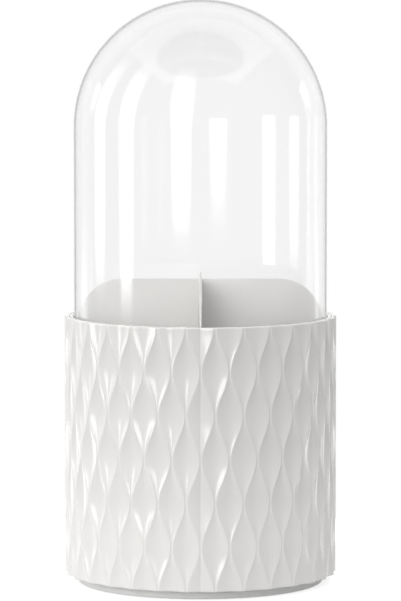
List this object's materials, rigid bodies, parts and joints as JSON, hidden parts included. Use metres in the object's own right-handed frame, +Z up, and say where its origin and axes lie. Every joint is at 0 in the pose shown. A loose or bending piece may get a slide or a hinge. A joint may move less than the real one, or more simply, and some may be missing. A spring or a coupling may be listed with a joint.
{
  "type": "makeup organizer",
  "caption": "Upright cup organizer with a scooped sleeve, a lift-out cross divider, a clear domed dust cover and a ball turntable foot.",
  "frame": {"origin": "centre of the underside, in the plane of the pads' lower faces, on the turntable's axis", "axes": "+Z up along the turntable's axis, -Y towards the front, +X to the right as seen from the front"},
  "size_m": [0.116, 0.116, 0.2493],
  "materials": {
    "sleeve_plastic": "moulded, soft gloss",
    "white_plastic": "moulded, soft gloss",
    "divider_plastic": "moulded, soft gloss",
    "clear_plastic": "clear, polished",
    "foot_plastic": "moulded, fine matte",
    "cage_plastic": "natural, matte",
    "bearing_steel": "polished",
    "zinc_steel": "zinc plated",
    "pad_rubber": "matte"
  },
  "bodies": {
    "foot": {"base_plate": "foot_plastic", "foot_pad_1": "pad_rubber", "foot_pad_2": "pad_rubber", "foot_pad_3": "pad_rubber", "foot_pad_4": "pad_rubber"},
    "ball_ring": {"ball_cage": "cage_plastic", "bearing_ball_1": "bearing_steel", "bearing_ball_2": "bearing_steel", "bearing_ball_3": "bearing_steel", "bearing_ball_4": "bearing_steel", "bearing_ball_5": "bearing_steel", "bearing_ball_6": "bearing_steel", "bearing_ball_7": "bearing_steel", "bearing_ball_8": "bearing_steel", "bearing_ball_9": "bearing_steel", "bearing_ball_10": "bearing_steel", "bearing_ball_11": "bearing_steel", "bearing_ball_12": "bearing_steel", "bearing_ball_13": "bearing_steel", "bearing_ball_14": "bearing_steel", "bearing_ball_15": "bearing_steel", "bearing_ball_16": "bearing_steel"},
    "cup": {"inner_cup": "white_plastic", "textured_sleeve": "sleeve_plastic", "pivot_washer": "zinc_steel", "pivot_screw": "zinc_steel"},
    "divider": {"divider_panel_wide": "divider_plastic", "divider_panel_deep": "divider_plastic"},
    "dome": {"dome_cover": "clear_plastic"}
  },
  "joints": [
    {"name": "turntable_spin", "type": "hinge", "parent": "foot", "child": "cup", "pos_m": [0, 0, 0.0082], "axis": [0, 0, 1], "continuous": true},
    {"name": "cage_spin", "type": "hinge", "parent": "foot", "child": "ball_ring", "pos_m": [0, 0, 0.0082], "axis": [0, 0, 1], "continuous": true},
    {"name": "divider_lift", "type": "slide", "parent": "cup", "child": "divider", "axis": [0, 0, 1], "range_m": [0, 0.11]},
    {"name": "dome_lift", "type": "slide", "parent": "divider", "child": "dome", "axis": [0, 0, 1], "range_m": [0, 0.15]}
  ],
  "couplings": [
    {"joint": "cage_spin", "follows": "turntable_spin", "ratio": 0.5}
  ]
}
